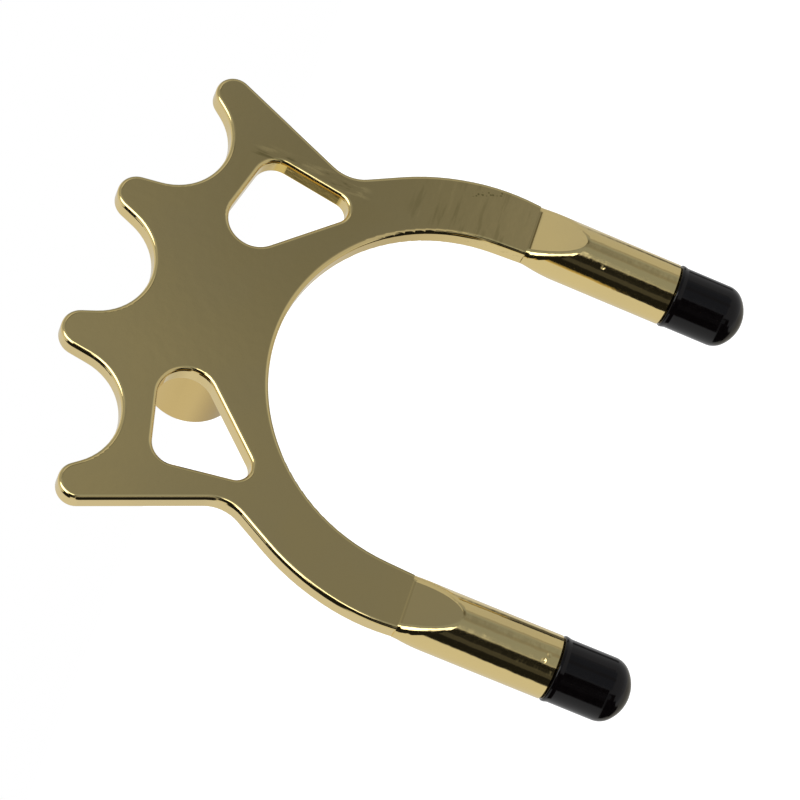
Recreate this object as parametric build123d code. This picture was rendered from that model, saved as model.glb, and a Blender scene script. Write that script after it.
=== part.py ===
from build123d import *
import os
from math import asin, atan, atan2, cos, hypot, pi, radians, sin

# Head of a cue rest for table games, the kind called a spider. A flat brass plate carries cue
# notches between prongs along its top and an arch below, which stands over a ball. The arch's
# two arms turn into round legs with rubber feet, and a tube on the plate's back takes the stick.
#
# Frame: X across, Z up, the plate's flat front faces -Y and the stick leaves towards +Y. The
# origin is the centre of the socket's mouth. The parts are drawn about the arch's centre, in the
# middle of the plate's thickness, and moved to the frame at the end.

# ---- driving dimensions, mm ----
PLATE_THICK = 4.7
EDGE_ROUND = 0.9            # rounding of the plate's edges, front and back
ARCH_RADIUS = 36.9
ARM_WIDTH = 12.8            # width of the flat band round the arch
FLAT_END_Z = -3.9           # where the flat arms stop and the round legs start
ARM_DRAW_IN = 0.28          # how far each wall of an arm has drawn in where its leg starts
DRAW_IN_RADIUS = 44.0       # arc of an arm's outer wall as it draws in
DRAW_IN_ANGLE = 8.0         # degrees over the level, where that arc leaves the outer circle

NOTCH_RADIUS = 11.9         # the rests for the cue
MID_NOTCH_Z = 75.6
SIDE_NOTCH_X, SIDE_NOTCH_Z = 32.3, 70.7
INNER_PRONG_X, INNER_PRONG_Z, INNER_PRONG_RADIUS = 15.9, 72.1, 4.1
OUTER_PRONG_X, OUTER_PRONG_Z, OUTER_PRONG_RADIUS = 45.5, 62.0, 3.8
SHOULDER_RADIUS = 7.9       # inside corner between the outer prong and the arch
SHOULDER_X, SHOULDER_Z = 46.3, 35.0

# the corners of each three-sided window: x, z, radius
WINDOW_CORNERS = [(21.0, 48.6, 5.8), (30.1, 35.5, 3.1), (30.6, 47.6, 4.5)]

LEG_RADIUS = 6.5
LEG_SET_BACK = 0.6          # the legs' axes lie this far behind the plate's middle
LEG_END_Z = -35.0
RAMP_SLOPE = 0.34           # rise of the flat run-outs, in mm per mm down the leg
RAMP_ROUND = 1.8            # rounding where a run-out meets the round leg
CREASE_RADIUS = 3.0         # hollow where a run-out leaves the flat arm
LEG_END_BEVEL = 0.35
SPIGOT_RADIUS = 4.8
SPIGOT_LENGTH = 11.0

SOCKET_RADIUS = 10.5
SOCKET_Z = 48.4             # height of the socket's axis over the arch's centre
SOCKET_REACH = 31.0         # from the plate's middle to the socket's mouth
SOCKET_RIM_ROUND = 0.8
BORE_RADIUS = 7.5
BORE_DEPTH = 24.0

CAP_RADIUS = 6.45
CAP_GAP = 0.1               # between a cap's open end and its leg
CAP_BORE_CLEARANCE = 0.05   # radial, on the spigot
CAP_END_CLEARANCE = 0.3
CAP_END_Z = -50.9
CAP_CORNER_RADIUS = 4.2
CAP_CROWN_RADIUS = 7.4
CAP_LIP_PROUD = 0.2         # the open end is a little thicker
CAP_LIP_LENGTH = 0.6
CAP_LIP_TAPER = 0.8         # length over which the lip runs out
CAP_LIP_ROUND = 0.3

# ---- sizes that follow ----
LEG_X = ARCH_RADIUS + ARM_WIDTH / 2
ARCH_OUTER_RADIUS = ARCH_RADIUS + ARM_WIDTH
HALF_THICK = PLATE_THICK / 2
SPIGOT_END_Z = LEG_END_Z - SPIGOT_LENGTH
SIDES = {"left": -1, "right": 1}
TO_FRAME = Location((0, -SOCKET_REACH, -SOCKET_Z))
SHORT = 0.02                # keeps a short straight line between two arcs that nearly touch
SMALL = 1e-4


def tangent_outline(rounds):
    """Closed face bounded by arcs and the straight lines that touch each arc and the next.

    Each round is (x, z, radius). Going round the outline, a left turn has a positive radius,
    a right turn a negative one, and a sharp corner has 0.
    """
    def heading(a, b):
        dx, dz = b[0] - a[0], b[1] - a[1]
        return atan2(dz, dx) - asin((b[2] - a[2]) / hypot(dx, dz))

    def touch(r, angle):
        """Point of a round where the outline runs at this angle."""
        return r[0] + r[2] * sin(angle), r[1] - r[2] * cos(angle)

    count = len(rounds)
    headings = [heading(rounds[i], rounds[(i + 1) % count]) for i in range(count)]
    edges = []
    for i, r in enumerate(rounds):
        arriving, leaving = headings[i - 1], headings[i]
        if r[2]:
            turn = (leaving - arriving) % (2 * pi)
            if r[2] < 0:
                turn -= 2 * pi
            edges.append(ThreePointArc(touch(r, arriving), touch(r, arriving + turn / 2),
                                       touch(r, arriving + turn)))
        following = rounds[(i + 1) % count]
        edges.append(Line(touch(r, leaving), touch(following, leaving)))
    return Face(Wire(edges))


def mirrored(rounds):
    """The same rounds on the other side of the middle, in the order that the outline meets them."""
    return [(-x, z, radius) for x, z, radius in reversed(rounds)]


def plate():
    """Flat plate with prongs, notches, windows and arch, all its outline edges rounded."""
    centre_out = ARCH_OUTER_RADIUS - DRAW_IN_RADIUS + SHORT
    draw_in_x, draw_in_z = (centre_out * f(radians(DRAW_IN_ANGLE)) for f in (cos, sin))
    shoulder_side = [
        (INNER_PRONG_X, INNER_PRONG_Z, -INNER_PRONG_RADIUS),
        (SIDE_NOTCH_X, SIDE_NOTCH_Z, NOTCH_RADIUS),
        (OUTER_PRONG_X, OUTER_PRONG_Z, -OUTER_PRONG_RADIUS),
        (SHOULDER_X, SHOULDER_Z, SHOULDER_RADIUS),
        (0, 0, -ARCH_OUTER_RADIUS),
        (draw_in_x, draw_in_z, -DRAW_IN_RADIUS),
        (ARCH_OUTER_RADIUS - ARM_DRAW_IN, FLAT_END_Z, 0),
        (ARCH_RADIUS + ARM_DRAW_IN, FLAT_END_Z, 0),
    ]
    outline = [(0, MID_NOTCH_Z, NOTCH_RADIUS)] + shoulder_side
    outline += [(0, 0, ARCH_RADIUS)] + mirrored(shoulder_side)
    flat = tangent_outline(outline)
    for corners in (WINDOW_CORNERS, mirrored(WINDOW_CORNERS)):
        flat -= tangent_outline(corners)
    solid = extrude(Plane.XZ * flat, amount=HALF_THICK, both=True)
    rims = [e for e in solid.edges()
            if abs(abs(e.center().Y) - HALF_THICK) < SMALL and e.center().Z > FLAT_END_Z + SMALL]
    return fillet(rims, EDGE_ROUND)


def leg(side):
    """Round leg whose flat run-outs, front and back, rise from the plate's faces to the full bar."""
    axis = Pos(side * LEG_X, LEG_SET_BACK, 0)
    length = FLAT_END_Z - LEG_END_Z
    bar = Pos(0, 0, LEG_END_Z) * Cylinder(LEG_RADIUS, length, align=(Align.CENTER, Align.CENTER, Align.MIN))
    turn = atan(RAMP_SLOPE)

    def crease(angle, face):
        return (face * (HALF_THICK + CREASE_RADIUS * (1 - cos(angle))),
                FLAT_END_Z - CREASE_RADIUS * sin(angle))

    ramp_t, ramp_z = crease(turn, 1)
    flare = ramp_t + RAMP_SLOPE * (ramp_z - LEG_END_Z)
    side_profile = Wire([
        Line(crease(0, -1), crease(0, 1)),
        ThreePointArc(crease(0, 1), crease(turn / 2, 1), crease(turn, 1)),
        Line(crease(turn, 1), (flare, LEG_END_Z)),
        Line((flare, LEG_END_Z), (-flare, LEG_END_Z)),
        Line((-flare, LEG_END_Z), crease(turn, -1)),
        ThreePointArc(crease(turn, -1), crease(turn / 2, -1), crease(0, -1)),
    ])
    wedge = extrude(Plane.YZ * Face(side_profile), amount=2 * LEG_RADIUS, both=True)
    solid = (axis * bar) & (Pos(side * LEG_X, 0, 0) * wedge)

    def on_bar(edge):
        """True for an edge where a run-out cuts the round bar, all inside the leg's length."""
        spots = [edge @ share for share in (0.25, 0.75)]
        return edge.geom_type != GeomType.LINE and all(
            abs(hypot(p.X - side * LEG_X, p.Y - LEG_SET_BACK) - LEG_RADIUS) < SMALL
            and LEG_END_Z + SMALL < p.Z < FLAT_END_Z - SMALL for p in spots)

    solid = fillet([e for e in solid.edges() if on_bar(e)], RAMP_ROUND)
    end_rim = solid.faces().sort_by(Axis.Z)[0].edges()
    solid = chamfer(end_rim, LEG_END_BEVEL)
    spigot = Pos(0, 0, SPIGOT_END_Z) * Cylinder(SPIGOT_RADIUS, SPIGOT_LENGTH + 1,
                                               align=(Align.CENTER, Align.CENTER, Align.MIN))
    return solid + axis * spigot


def head_casting():
    solid = plate()
    for side in SIDES.values():
        solid += leg(side)
    return solid


def stick_socket():
    """Tube on the plate's back, closed at the plate and open towards the stick."""
    length = SOCKET_REACH - HALF_THICK
    axis = Plane((0, HALF_THICK, SOCKET_Z), x_dir=(1, 0, 0), z_dir=(0, 1, 0))
    along = (Align.CENTER, Align.CENTER, Align.MIN)
    tube = axis * Cylinder(SOCKET_RADIUS, length, align=along)
    tube = fillet(tube.faces().sort_by(Axis.Y)[-1].edges(), SOCKET_RIM_ROUND)
    return tube - axis * Pos(0, 0, length - BORE_DEPTH) * Cylinder(BORE_RADIUS, BORE_DEPTH, align=along)


def foot_cap(side):
    """Domed rubber cap over the leg's spigot: a straight side, a corner arc and a flatter crown."""
    corner_x = CAP_RADIUS - CAP_CORNER_RADIUS
    crown_z = CAP_END_Z + CAP_CROWN_RADIUS
    corner_z = crown_z - ((CAP_CROWN_RADIUS - CAP_CORNER_RADIUS) ** 2 - corner_x ** 2) ** 0.5
    meet = atan2(crown_z - corner_z, corner_x)      # below the level, where the two arcs meet
    top_z = LEG_END_Z - CAP_GAP
    bore = SPIGOT_RADIUS + CAP_BORE_CLEARANCE
    bore_z = SPIGOT_END_Z - CAP_END_CLEARANCE

    def on_corner(angle):
        return corner_x + CAP_CORNER_RADIUS * cos(angle), corner_z - CAP_CORNER_RADIUS * sin(angle)

    def on_crown(angle):
        return CAP_CROWN_RADIUS * cos(angle), crown_z - CAP_CROWN_RADIUS * sin(angle)

    lip_radius, lip_z = CAP_RADIUS + CAP_LIP_PROUD, top_z - CAP_LIP_LENGTH
    profile = Wire([
        Line((bore, top_z), (lip_radius, top_z)),
        Line((lip_radius, top_z), (lip_radius, lip_z)),
        Line((lip_radius, lip_z), (CAP_RADIUS, lip_z - CAP_LIP_TAPER)),
        Line((CAP_RADIUS, lip_z - CAP_LIP_TAPER), on_corner(0)),
        ThreePointArc(on_corner(0), on_corner(meet / 2), on_corner(meet)),
        ThreePointArc(on_crown(meet), on_crown((meet + pi / 2) / 2), (0, CAP_END_Z)),
        Line((0, CAP_END_Z), (0, bore_z)),
        Line((0, bore_z), (bore, bore_z)),
        Line((bore, bore_z), (bore, top_z)),
    ])
    solid = revolve(Plane.XZ * Face(profile), axis=Axis.Z)
    lip = [e for e in solid.faces().sort_by(Axis.Z)[-1].edges() if e.radius > CAP_RADIUS - SMALL]
    solid = fillet(lip, CAP_LIP_ROUND)
    return Pos(side * LEG_X, LEG_SET_BACK, 0) * solid


os.makedirs("parts", exist_ok=True)
export_step(TO_FRAME * head_casting(), "parts/head_casting.step")
export_step(TO_FRAME * stick_socket(), "parts/stick_socket.step")
for name, side in SIDES.items():
    export_step(TO_FRAME * foot_cap(side), f"parts/foot_cap_{name}.step")
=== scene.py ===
"""Looks of the cue rest head: polished brass and black rubber in a soft white studio."""
import math
from types import SimpleNamespace

import bpy
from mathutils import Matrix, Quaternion, Vector


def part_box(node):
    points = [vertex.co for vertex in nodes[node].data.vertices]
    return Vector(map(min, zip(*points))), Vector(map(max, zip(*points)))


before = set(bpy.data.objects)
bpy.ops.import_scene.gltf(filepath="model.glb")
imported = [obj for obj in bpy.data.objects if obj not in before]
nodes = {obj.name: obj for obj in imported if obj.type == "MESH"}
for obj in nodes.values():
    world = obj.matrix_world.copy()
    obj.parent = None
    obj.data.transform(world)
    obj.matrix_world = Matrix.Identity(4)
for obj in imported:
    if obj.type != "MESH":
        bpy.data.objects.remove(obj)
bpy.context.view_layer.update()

# ---------------------------------------------------------------- sizes, in metres
PLATE_THICK = 0.0047
EDGE_ROUND = 0.0009             # rounding of the plate's edges, front and back
FLAT_END_Z = -0.0523            # the round legs are below this height
PLATE_BACK_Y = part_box("stick_socket")[0].y
PLATE_MID_Y = PLATE_BACK_Y - PLATE_THICK / 2
CAP_TRAVEL = 0.0135             # the rubber caps come off downwards, and stay clear of the ground
GROUND_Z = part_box("foot_cap_right")[0].z - CAP_TRAVEL


# ---------------------------------------------------------------- colours and node helpers
def grey(level):
    return (level, level, level)


def rgba(colour):
    return (*colour, 1.0)


WHITE = grey(1.0)


class Graph:
    """Short calls for building a shader's nodes."""

    def __init__(self, tree):
        self.tree = tree
        self.tree.nodes.clear()

    def add(self, kind, inputs=None, **settings):
        node = self.tree.nodes.new(kind)
        for name, value in settings.items():
            setattr(node, name, value)
        for name, value in (inputs or {}).items():
            self.put(node.inputs[name], value)
        return node

    def put(self, socket, value):
        if isinstance(value, bpy.types.NodeSocket):
            self.tree.links.new(value, socket)
        else:
            socket.default_value = value

    def math(self, operation, a, b=0.0, c=0.0, clamp=False):
        node = self.add("ShaderNodeMath", {0: a, 1: b, 2: c}, operation=operation, use_clamp=clamp)
        return node.outputs[0]

    def times(self, a, b):
        return self.math("MULTIPLY", a, b)

    def ramp(self, value, low, high, at_low=0.0, at_high=1.0):
        """Smooth step of value from at_low, at or under low, to at_high, at or over high."""
        inputs = {"Value": value, "From Min": low, "From Max": high, "To Min": at_low, "To Max": at_high}
        return self.add("ShaderNodeMapRange", inputs, interpolation_type="SMOOTHSTEP").outputs["Result"]

    def between(self, value, low, high, soft):
        """1 between low and high, falling to 0 over soft on both sides."""
        return self.times(self.ramp(value, low - soft, low), self.ramp(value, high, high + soft, 1.0, 0.0))

    def mix_colour(self, share, a, b):
        node = self.add("ShaderNodeMix", data_type="RGBA", clamp_factor=True)
        for socket, value in zip((node.inputs[0], node.inputs[6], node.inputs[7]), (share, a, b)):
            self.put(socket, value)
        return node.outputs[2]

    def mix_vector(self, share, a, b):
        node = self.add("ShaderNodeMix", data_type="VECTOR")
        for socket, value in zip((node.inputs[0], node.inputs[4], node.inputs[5]), (share, a, b)):
            self.put(socket, value)
        return node.outputs[1]

    def place(self):
        """Where a point is on the object, as one vector and as its X, Y and Z."""
        place = self.add("ShaderNodeTexCoord").outputs["Object"]
        return place, self.add("ShaderNodeSeparateXYZ", {"Vector": place}).outputs

    def noise(self, place, scale, detail, stretch=None):
        """Noise of scale cells to the metre, times stretch along X, Y and Z."""
        if stretch:
            place = self.add("ShaderNodeMapping", {"Vector": place, "Scale": stretch}).outputs[0]
        inputs = {"Vector": place, "Scale": scale, "Detail": detail}
        return self.add("ShaderNodeTexNoise", inputs).outputs["Fac"]

    def near(self, place, centre, radius):
        """1 at centre, falling to 0 at radius."""
        away = self.add("ShaderNodeVectorMath", {0: place, 1: centre}, operation="DISTANCE")
        return self.ramp(away.outputs["Value"], 0.0, radius, 1.0, 0.0)


def new_material(name):
    material = bpy.data.materials.new(name)
    material.use_nodes = True
    return material, Graph(material.node_tree)


def finish_material(g, inputs):
    surface = g.add("ShaderNodeBsdfPrincipled", inputs)
    g.add("ShaderNodeOutputMaterial", {"Surface": surface.outputs[0]})


# ---------------------------------------------------------------- studio
# Azimuth 0 is in front of the plate (-Y) and 90 is towards +X; elevation is over the horizon.
# A patch is azimuth, half width, elevation, half height and edge softness, in degrees, and a colour.
# Later patches lie over earlier ones.
STUDIO_BASE = grey(0.5)
BLACK_CLOTH = grey(0.012)
STUDIO_PATCHES = [
    ("sweep behind, right", 150, 36, 0, 90, 6, grey(0.66)),
    ("sweep behind, left", -140, 46, 0, 90, 6, grey(0.68)),
    ("ground behind", 180, 60, -50, 25, 30, (0.5, 0.47, 0.4)),
    ("room, over", 40, 60, 62, 26, 10, (0.36, 0.37, 0.37)),
    ("dark upright, right", 105, 7, -11.5, 3.5, 2, grey(0.1)),
    ("room ahead", 14, 34, 4, 26, 8, (0.29, 0.315, 0.345)),
    ("upright ahead", 19, 6, -14, 12, 5, grey(0.26)),
    ("upright, right", 51, 3, 0, 14, 3, grey(0.33)),
    ("plate view", 28, 12, -1.4, 7.4, 3, (0.212, 0.22, 0.231)),
    ("plate view, left", 24, 4, 1, 3, 5, (0.262, 0.27, 0.275)),
    ("plate view, dim", 31, 3, -3, 2, 5, (0.168, 0.174, 0.18)),
    ("plate view, low", 32.5, 2.5, -7.6, 1.3, 1.5, (0.25, 0.255, 0.27)),
    ("pale shelf", 24, 4, 11, 6, 3, (0.215, 0.22, 0.23)),
    ("dark shelf", 33, 5, 11, 6, 3, (0.12, 0.115, 0.1)),
    ("over the shelves", 22, 9, 27, 9, 4, (0.24, 0.25, 0.27)),
    ("bright, right of the room", 50, 18, 27, 13, 3, grey(0.52)),
    ("black cloth, high", -95, 56, 20, 17, 4, BLACK_CLOTH),
    ("black cloth, middle", -58, 36, -4, 12, 4, BLACK_CLOTH),
    ("black cloth, low", -92, 60, -36, 18, 4, BLACK_CLOTH),
    ("black cloth, lowest", -114, 48, -52, 14, 4, BLACK_CLOTH),
    ("soft box", -28, 19, 36, 22, 5, grey(3.2)),
    ("soft box, low", -17, 8.5, 5, 10, 5, grey(2.4)),
    ("dim streak", -57, 8, -9, 4, 3, grey(0.055)),
    ("grey card, left", -45, 8, -23, 11, 3, (0.24, 0.245, 0.25)),
]

FLOOR_HALF = 3.0
FLOOR_PAINT = grey(0.5)
FLOOR_ROUGHNESS = 0.9
FLOOR_GLOW = 0.9                # keeps the ground as white as the background


def patch_mask(g, azimuth, elevation, patch):
    """1 inside a patch of the studio, falling to 0 at its soft edge."""
    _, at, half_width, height, half_height, soft, _ = patch
    turn = g.math("WRAP", g.math("SUBTRACT", azimuth, math.radians(at)), math.pi, -math.pi)
    rise = g.math("SUBTRACT", elevation, math.radians(height))
    masks = []
    for offset, half in ((turn, half_width), (rise, half_height)):
        inside, outside = math.radians(half - soft / 2), math.radians(half + soft / 2)
        masks.append(g.ramp(g.math("ABSOLUTE", offset), inside, outside, 1.0, 0.0))
    return g.times(*masks)


def studio_world():
    """A room of soft light and dark patches for the brass to reflect, and plain white for the camera."""
    world = bpy.data.worlds.new("studio")
    bpy.context.scene.world = world
    world.use_nodes = True
    g = Graph(world.node_tree)
    direction = g.add("ShaderNodeTexCoord").outputs["Generated"]
    xyz = g.add("ShaderNodeSeparateXYZ", {"Vector": direction}).outputs
    azimuth = g.math("ARCTAN2", xyz["X"], g.times(xyz["Y"], -1.0))
    elevation = g.math("ARCSINE", xyz["Z"])
    light = rgba(STUDIO_BASE)
    for patch in STUDIO_PATCHES:
        light = g.mix_colour(patch_mask(g, azimuth, elevation, patch), light, rgba(patch[-1]))
    seen = g.add("ShaderNodeLightPath").outputs["Is Camera Ray"]
    shown = g.mix_colour(seen, light, rgba(WHITE))
    background = g.add("ShaderNodeBackground", {"Color": shown})
    g.add("ShaderNodeOutputWorld", {"Surface": background.outputs[0]})


def floor():
    """Plain pale ground, far enough below the feet for a rubber cap to come off."""
    half = FLOOR_HALF
    corners = [(-half, -half, 0), (half, -half, 0), (half, half, 0), (-half, half, 0)]
    mesh = bpy.data.meshes.new("floor")
    mesh.from_pydata(corners, [], [(0, 1, 2, 3)])
    ground = bpy.data.objects.new("floor", mesh)
    bpy.context.scene.collection.objects.link(ground)
    ground.location = (0, 0, GROUND_Z)
    ground.visible_glossy = False
    paint, g = new_material("floor_white")
    finish_material(g, {
        "Base Color": rgba(FLOOR_PAINT), "Roughness": FLOOR_ROUGHNESS,
        "Emission Color": rgba(WHITE), "Emission Strength": FLOOR_GLOW})
    mesh.materials.append(paint)


# ---------------------------------------------------------------- camera
CAMERA_TARGET = Vector((-0.0029, -0.0310, -0.0386))
CAMERA_DISTANCE = 0.6144
CAMERA_AZIMUTH = -27.453        # the side that the camera looks from, as for the studio
CAMERA_ELEVATION = 5.538
CAMERA_ROLL = -67.52            # the head is shown on its side, legs to the right
CAMERA_LENS = 141.53            # mm
SENSOR_WIDTH = 36.0             # mm
CLIP_START = 0.05
CLIP_END = 20.0


def camera():
    data = bpy.data.cameras.new("camera")
    data.lens, data.sensor_width = CAMERA_LENS, SENSOR_WIDTH
    data.clip_start, data.clip_end = CLIP_START, CLIP_END
    cam = bpy.data.objects.new("camera", data)
    bpy.context.scene.collection.objects.link(cam)
    a, e = math.radians(CAMERA_AZIMUTH), math.radians(CAMERA_ELEVATION)
    away = Vector((math.sin(a) * math.cos(e), -math.cos(a) * math.cos(e), math.sin(e)))
    level = (-away).to_track_quat("-Z", "Y")
    cam.rotation_mode = "QUATERNION"
    cam.rotation_quaternion = level @ Quaternion((0, 0, 1), math.radians(CAMERA_ROLL))
    cam.location = CAMERA_TARGET + away * CAMERA_DISTANCE
    bpy.context.scene.camera = cam


# ---------------------------------------------------------------- brass
BRASS = (0.900, 0.707, 0.313)
BRASS_WORN = (0.870, 0.690, 0.318)      # clouds of it all over the casting
BRASS_RIM_SHADE = (0.470, 0.390, 0.165)      # painted shade on the front roundings that face +X, which reflect darker
BRASS_STAIN = (0.500, 0.400, 0.150)     # polishing streaks and pits
BRASS_INTERREFLECTION = (0.860, 0.620, 0.170)   # painted reflection: the brown of brass seen in brass, on the outer wall of the right window
BRASS_WARM = (0.800, 0.580, 0.205)      # socket
BRASS_UNDER_SHADE = (0.540, 0.385, 0.135)     # painted shade on the underside of the socket

# Noises, with their cells to the metre. A pair of tones is where a ramp starts and ends.
TONE_CELLS = 60.0
WORN_TONES = (0.35, 0.7)
ROUGH_TONES = (0.3, 0.7)
MIRROR_ROUGHNESS = (0.07, 0.11)
WAVE_CELLS = 420.0
WAVE_HEIGHT = 0.000008                  # metres, on the plate
LEG_WAVE = 4.2                          # the legs' waves are this many times as high as the plate's
LEG_WAVE_Z = (FLAT_END_Z - 0.012, FLAT_END_Z - 0.006)       # as high below, and as the plate's above

# Nicks in the legs' plating. Their depth is in heights of the plate's waves.
NICKS = [(0.0399, -0.0359, -0.0678), (-0.0440, -0.0368, -0.0810), (-0.0453, -0.0366, -0.0803)]
NICK_RADIUS = 0.0006
NICK_DEPTH = 10.0

# Polishing marks. An area is X from, X to and the softness of its ends, and the same for Z.
# A mark's ramp is the noise from and to, and the mark's strength from and to.
BESIDE_WINDOW = ((0.0350, 0.0368, 0.0015), (-0.0170, 0.0040, 0.0030))
STREAKS_ALONG_Z = (1000.0, 1000.0, 190.0)
STREAK_STAIN = (0.54, 0.66, 0.0, 0.75)
STREAK_SCUFF = (0.34, 0.46, 0.8, 0.0)
RIGHT_ARM = ((0.0360, 0.0490, 0.0020), (-0.0500, -0.0290, 0.0040))
STROKES_ALONG_X = (110.0, 800.0, 800.0)
STROKE_STAIN = (0.54, 0.70, 0.0, 0.35)
STROKE_SCUFF = (0.30, 0.44, 0.4, 0.0)
SCUFF_ROUGHNESS = 0.18                  # added where a place is fully scuffed
PIT_CELLS = 1700.0
PIT_CORE = (0.32, 0.46, 1.0, 0.0)
PIT_ROW_SLOPE = 0.47                    # the row of pits is where X + slope * Z is within PIT_ROW
PIT_ROW = (0.0270, 0.0279, 0.0002)
PIT_ROW_Z = (-0.0440, -0.0385, 0.0005)

# The plate's edges. Lean is how far a normal is from pointing straight to the front or the back.
EDGE_LEAN = 0.03                        # the normals of the flat faces lean less than this
LEAST_LEAN = 1e-4                       # keeps a division by the lean finite
ROUNDING_FACING = (0.0, 0.1)            # facing, at the wall and where the rounding has all the painted shade
RIM_NORMAL_X = (0.12, 0.4)              # X of the normal, where the rim's painted shade starts and where it is full
WALL_NORMAL_X = (-0.97, -0.9)           # X of the normal, where the wall has all the painted reflection and where it has none
WINDOW_WALL = ((0.0320, 0.0355, 0.0005), (-0.0140, 0.0005, 0.0010))

SOCKET_SHADE_Z = (-0.0095, -0.0015)     # painted shade, brown below the first height and clear above the second


def within(g, at, area):
    """1 in a part of the casting, falling to 0 at its soft ends."""
    across, up = area
    return g.times(g.between(at["X"], *across), g.between(at["Z"], *up))


def plate_edge(g, at):
    """Nodes for the plate's edges. Facing is 1 at the flat faces and 0 on the wall between roundings."""
    normal = g.add("ShaderNodeTexCoord").outputs["Normal"]
    given = g.add("ShaderNodeSeparateXYZ", {"Vector": normal}).outputs
    offset = g.math("SUBTRACT", at["Y"], PLATE_MID_Y)
    depth = g.math("SUBTRACT", PLATE_THICK / 2, g.math("ABSOLUTE", offset))
    facing = g.math("SUBTRACT", 1.0, g.math("DIVIDE", depth, EDGE_ROUND), clamp=True)
    squares = g.math("ADD", g.times(given["X"], given["X"]), g.times(given["Z"], given["Z"]))
    lean = g.math("SQRT", squares)
    on_plate = g.math("GREATER_THAN", at["Z"], FLAT_END_Z)
    on_edge = g.times(on_plate, g.math("GREATER_THAN", lean, EDGE_LEAN))
    return SimpleNamespace(
        normal=normal, given=given, offset=offset, facing=facing, lean=lean, on_edge=on_edge)


def edge_normal(g, edge):
    """Exact normals on the plate's rounded edges, worked out from the depth under its faces."""
    sideways = g.math("SQRT", g.math("SUBTRACT", 1.0, g.times(edge.facing, edge.facing), clamp=True))
    share = g.math("DIVIDE", sideways, g.math("MAXIMUM", edge.lean, LEAST_LEAN))
    exact = g.add("ShaderNodeCombineXYZ", {
        "X": g.times(edge.given["X"], share), "Z": g.times(edge.given["Z"], share),
        "Y": g.times(g.math("SIGN", edge.offset), edge.facing)}).outputs[0]
    chosen = g.mix_vector(edge.on_edge, edge.normal, exact)
    world = g.add("ShaderNodeVectorTransform", {"Vector": chosen}, vector_type="NORMAL",
                  convert_from="OBJECT", convert_to="WORLD")
    return world.outputs[0]


def painted_rim_shade(g, edge):
    """1 on the plate's front roundings that face +X, where the colour is darkened as painted shade."""
    in_front = g.math("LESS_THAN", edge.offset, 0.0)
    on_rounding = g.times(in_front, g.ramp(edge.facing, *ROUNDING_FACING))
    return g.times(g.times(edge.on_edge, on_rounding), g.ramp(edge.given["X"], *RIM_NORMAL_X))


def window_wall(g, at, edge):
    """1 on the outer wall inside the right window, which faces -X and gets a painted reflection tint."""
    return g.times(within(g, at, WINDOW_WALL), g.ramp(edge.given["X"], *WALL_NORMAL_X, 1.0, 0.0))


def pit_row(g, place, at):
    """1 in the small pits that run in a row across the right arm."""
    row = g.math("ADD", at["X"], g.times(at["Z"], PIT_ROW_SLOPE))
    in_row = g.times(g.between(row, *PIT_ROW), g.between(at["Z"], *PIT_ROW_Z))
    cells = g.add("ShaderNodeTexVoronoi", {"Vector": place, "Scale": PIT_CELLS}).outputs["Distance"]
    return g.times(in_row, g.ramp(cells, *PIT_CORE))


def plate_marks(g, place, at):
    """Marks in the plate's front: how much each place is stained, and how much it's scuffed."""
    beside_window = within(g, at, BESIDE_WINDOW)
    streaks = g.noise(place, 1.0, detail=2.0, stretch=STREAKS_ALONG_Z)
    on_arm = within(g, at, RIGHT_ARM)
    strokes = g.noise(place, 1.0, detail=2.0, stretch=STROKES_ALONG_X)
    stain = g.math("MAXIMUM", g.times(beside_window, g.ramp(streaks, *STREAK_STAIN)),
                   g.times(on_arm, g.ramp(strokes, *STROKE_STAIN)))
    scuff = g.math("MAXIMUM", g.times(beside_window, g.ramp(streaks, *STREAK_SCUFF)),
                   g.times(on_arm, g.ramp(strokes, *STROKE_SCUFF)))
    in_front = g.math("LESS_THAN", at["Y"], PLATE_MID_Y)
    stain = g.math("MAXIMUM", stain, pit_row(g, place, at))
    return g.times(stain, in_front), g.times(scuff, in_front)


def casting_relief(g, place, at, wave):
    """Height of the casting's waves, which grow on the legs, less the depth of the nicks."""
    on_legs = g.ramp(at["Z"], *LEG_WAVE_Z, 1.0, 0.0)
    nicks = g.near(place, NICKS[0], NICK_RADIUS)
    for nick in NICKS[1:]:
        nicks = g.math("MAXIMUM", nicks, g.near(place, nick, NICK_RADIUS))
    waves = g.times(wave, g.ramp(on_legs, 0.0, 1.0, 1.0, LEG_WAVE))
    return g.math("ADD", waves, g.times(nicks, -NICK_DEPTH))


def finish_brass(g, colour, rough, bump_inputs):
    bump = g.add("ShaderNodeBump", {"Strength": 1.0, "Distance": WAVE_HEIGHT, **bump_inputs})
    finish_material(g, {
        "Base Color": colour, "Metallic": 1.0, "Roughness": rough, "Normal": bump.outputs["Normal"]})


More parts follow.
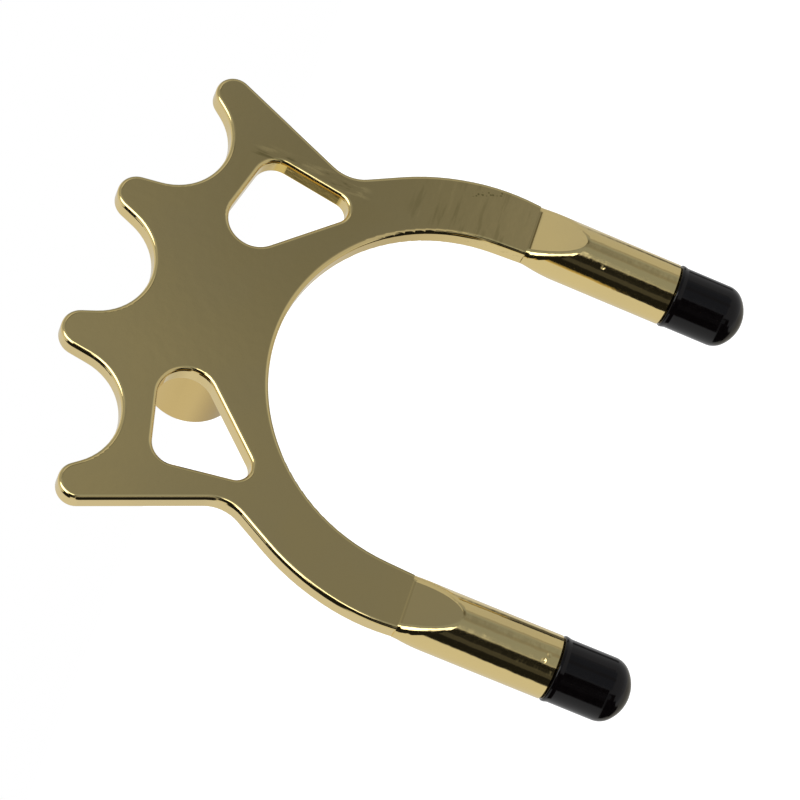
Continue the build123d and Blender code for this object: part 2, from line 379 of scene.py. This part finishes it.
def casting_brass(name):
    """Mirror plating, wavier on the legs, with polishing marks on the front, painted shade on the
    roundings that face +X and a painted reflection tint in the right window.
    """
    material, g = new_material(name)
    place, at = g.place()
    tone = g.noise(place, TONE_CELLS, detail=3.0)
    wave = g.noise(place, WAVE_CELLS, detail=2.0)
    edge = plate_edge(g, at)
    stain, scuff = plate_marks(g, place, at)
    colour = g.mix_colour(g.ramp(tone, *WORN_TONES), rgba(BRASS), rgba(BRASS_WORN))
    colour = g.mix_colour(stain, colour, rgba(BRASS_STAIN))
    # painted shade: the front roundings that face +X are darkened
    colour = g.mix_colour(painted_rim_shade(g, edge), colour, rgba(BRASS_RIM_SHADE))
    # painted reflection: the brown of brass reflected in brass, on the window's wall
    colour = g.mix_colour(window_wall(g, at, edge), colour, rgba(BRASS_INTERREFLECTION))
    rough = g.math("ADD", g.ramp(tone, *ROUGH_TONES, *MIRROR_ROUGHNESS), g.times(scuff, SCUFF_ROUGHNESS))
    relief = casting_relief(g, place, at, wave)
    finish_brass(g, colour, rough, {"Height": relief, "Normal": edge_normal(g, edge)})
    return material


def socket_brass(name):
    """Warmer mirror plating, with painted shade turning it brown towards its underside."""
    material, g = new_material(name)
    place, at = g.place()
    tone = g.noise(place, TONE_CELLS, detail=3.0)
    wave = g.noise(place, WAVE_CELLS, detail=2.0)
    # painted shade: darker and browner towards the underside
    under = g.ramp(at["Z"], *SOCKET_SHADE_Z, 1.0, 0.0)
    colour = g.mix_colour(under, rgba(BRASS_WARM), rgba(BRASS_UNDER_SHADE))
    finish_brass(g, colour, g.ramp(tone, *ROUGH_TONES, *MIRROR_ROUGHNESS), {"Height": wave})
    return material


# ---------------------------------------------------------------- rubber
RUBBER_DARK = (0.0010, 0.0006, 0.0007)
RUBBER_LIGHT = (0.0022, 0.0015, 0.0017)
RUBBER_TONES = (0.3, 0.7)
RUBBER_ROUGHNESS = (0.09, 0.13)
RUBBER_SPECULAR = 0.3
SKIN_CELLS = 900.0
SKIN_HEIGHT = 0.00001
SKIN_STRENGTH = 0.5


def foot_rubber(name):
    """Black moulded rubber with a soft gloss and a fine skin."""
    material, g = new_material(name)
    place, _ = g.place()
    skin = g.noise(place, SKIN_CELLS, detail=4.0)
    bump = g.add("ShaderNodeBump", {"Height": skin, "Strength": SKIN_STRENGTH, "Distance": SKIN_HEIGHT})
    finish_material(g, {
        "Base Color": g.mix_colour(skin, rgba(RUBBER_DARK), rgba(RUBBER_LIGHT)),
        "Roughness": g.ramp(skin, *RUBBER_TONES, *RUBBER_ROUGHNESS),
        "Specular IOR Level": RUBBER_SPECULAR, "Normal": bump.outputs["Normal"]})
    return material


def dress():
    looks = {"head_casting": casting_brass("brass_head"),
             "stick_socket": socket_brass("brass_socket"),
             "foot_cap_left": foot_rubber("foot_rubber_left"),
             "foot_cap_right": foot_rubber("foot_rubber_right")}
    for name, material in looks.items():
        for slot in nodes[name].material_slots:
            slot.material = material


studio_world()
floor()
camera()
dress()
bpy.context.scene.view_settings.view_transform = "Standard"
